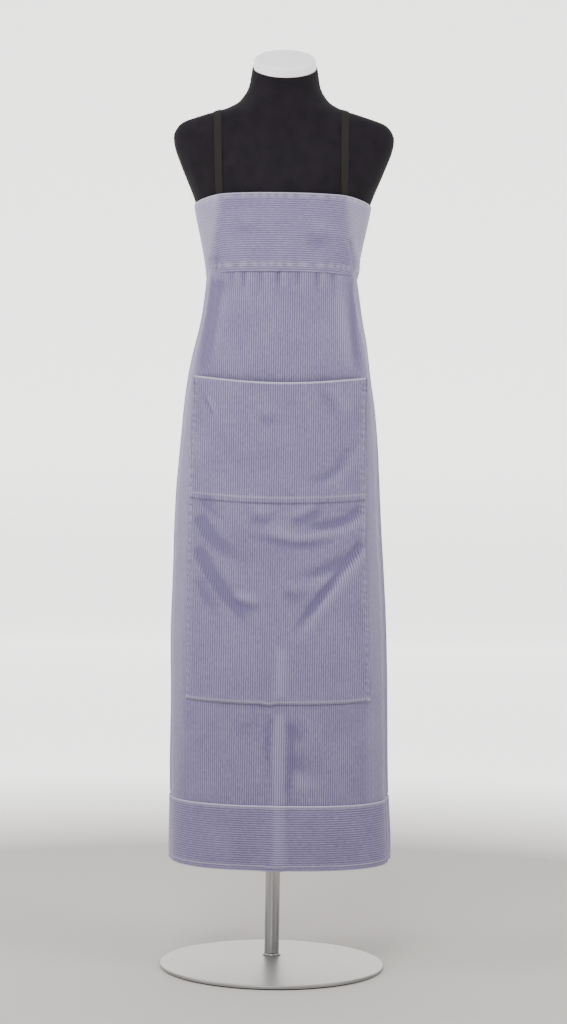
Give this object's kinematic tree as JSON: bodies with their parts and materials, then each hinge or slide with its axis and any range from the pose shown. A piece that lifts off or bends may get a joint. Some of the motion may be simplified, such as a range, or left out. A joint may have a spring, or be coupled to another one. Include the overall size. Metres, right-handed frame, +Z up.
{
  "type": "apron dress on a dress form",
  "caption": "Long wide-wale corduroy apron dress with a bib band, large front pocket and elastic straps, worn by a headless jersey-covered dress form on a round sliding-post base.",
  "frame": {"origin": "centre of the underside of the round base, on the floor", "axes": "+Z up, the wearer faces -Y, +X to the right of someone who looks at the front"},
  "size_m": [0.3906, 0.3816, 1.5812],
  "materials": {
    "felt": "matte",
    "steel": "satin",
    "zinc": "satin",
    "nylon": "matte",
    "shell": "matte",
    "jersey": "matte",
    "ply": "matte",
    "silver": "satin",
    "corduroy": "matte",
    "elastic": "matte",
    "button": "gloss"
  },
  "bodies": {
    "stand": {"base_felt": "felt", "base_plate": "steel", "base_bolt": "zinc", "post_plug": "zinc", "post_tube": "steel", "post_foot_ring": "steel", "post_bush": "nylon", "height_collar": "zinc"},
    "height_lock": {"height_screw": "zinc", "height_knob": "nylon"},
    "column": {"rod_tube": "steel", "rod_guide": "nylon", "rod_end_plug": "nylon"},
    "form": {"torso_shell": "shell", "jersey_cover": "jersey", "hip_board": "ply", "form_socket": "zinc", "flange_screw_1": "zinc", "flange_screw_2": "zinc", "flange_screw_3": "zinc", "flange_screw_4": "zinc", "neck_block": "ply", "bib_band": "corduroy", "front_panel": "corduroy", "back_panel_left": "corduroy", "back_panel_right": "corduroy", "hem_band_front": "corduroy", "hem_band_left": "corduroy", "hem_band_right": "corduroy", "pocket_lower": "corduroy", "pocket_upper": "corduroy", "strap_left": "elastic", "strap_right": "elastic", "back_button_1": "button", "back_button_2": "button", "back_button_3": "button"},
    "swivel_lock": {"swivel_screw": "zinc", "swivel_knob": "nylon"},
    "cap": {"neck_cap": "silver", "cap_spigot": "nylon"}
  },
  "joints": [
    {"name": "column_slide", "type": "slide", "parent": "stand", "child": "column", "axis": [0, 0, 1], "range_m": [-0.12, 0.2]},
    {"name": "form_swivel", "type": "hinge", "parent": "column", "child": "form", "pos_m": [0, 0.062, 0.7], "axis": [0, 0, 1], "continuous": true},
    {"name": "height_lock_turn", "type": "hinge", "parent": "stand", "child": "height_lock", "pos_m": [0, 0.09, 0.544], "axis": [0, 1, 0], "range_deg": [-720, 0]},
    {"name": "swivel_lock_turn", "type": "hinge", "parent": "form", "child": "swivel_lock", "pos_m": [0, 0.09, 0.7256], "axis": [0, 1, 0], "range_deg": [-720, 0]},
    {"name": "cap_lift", "type": "slide", "parent": "form", "child": "cap", "axis": [0, -0.4848, 0.8746], "range_m": [0, 0.04]}
  ]
}
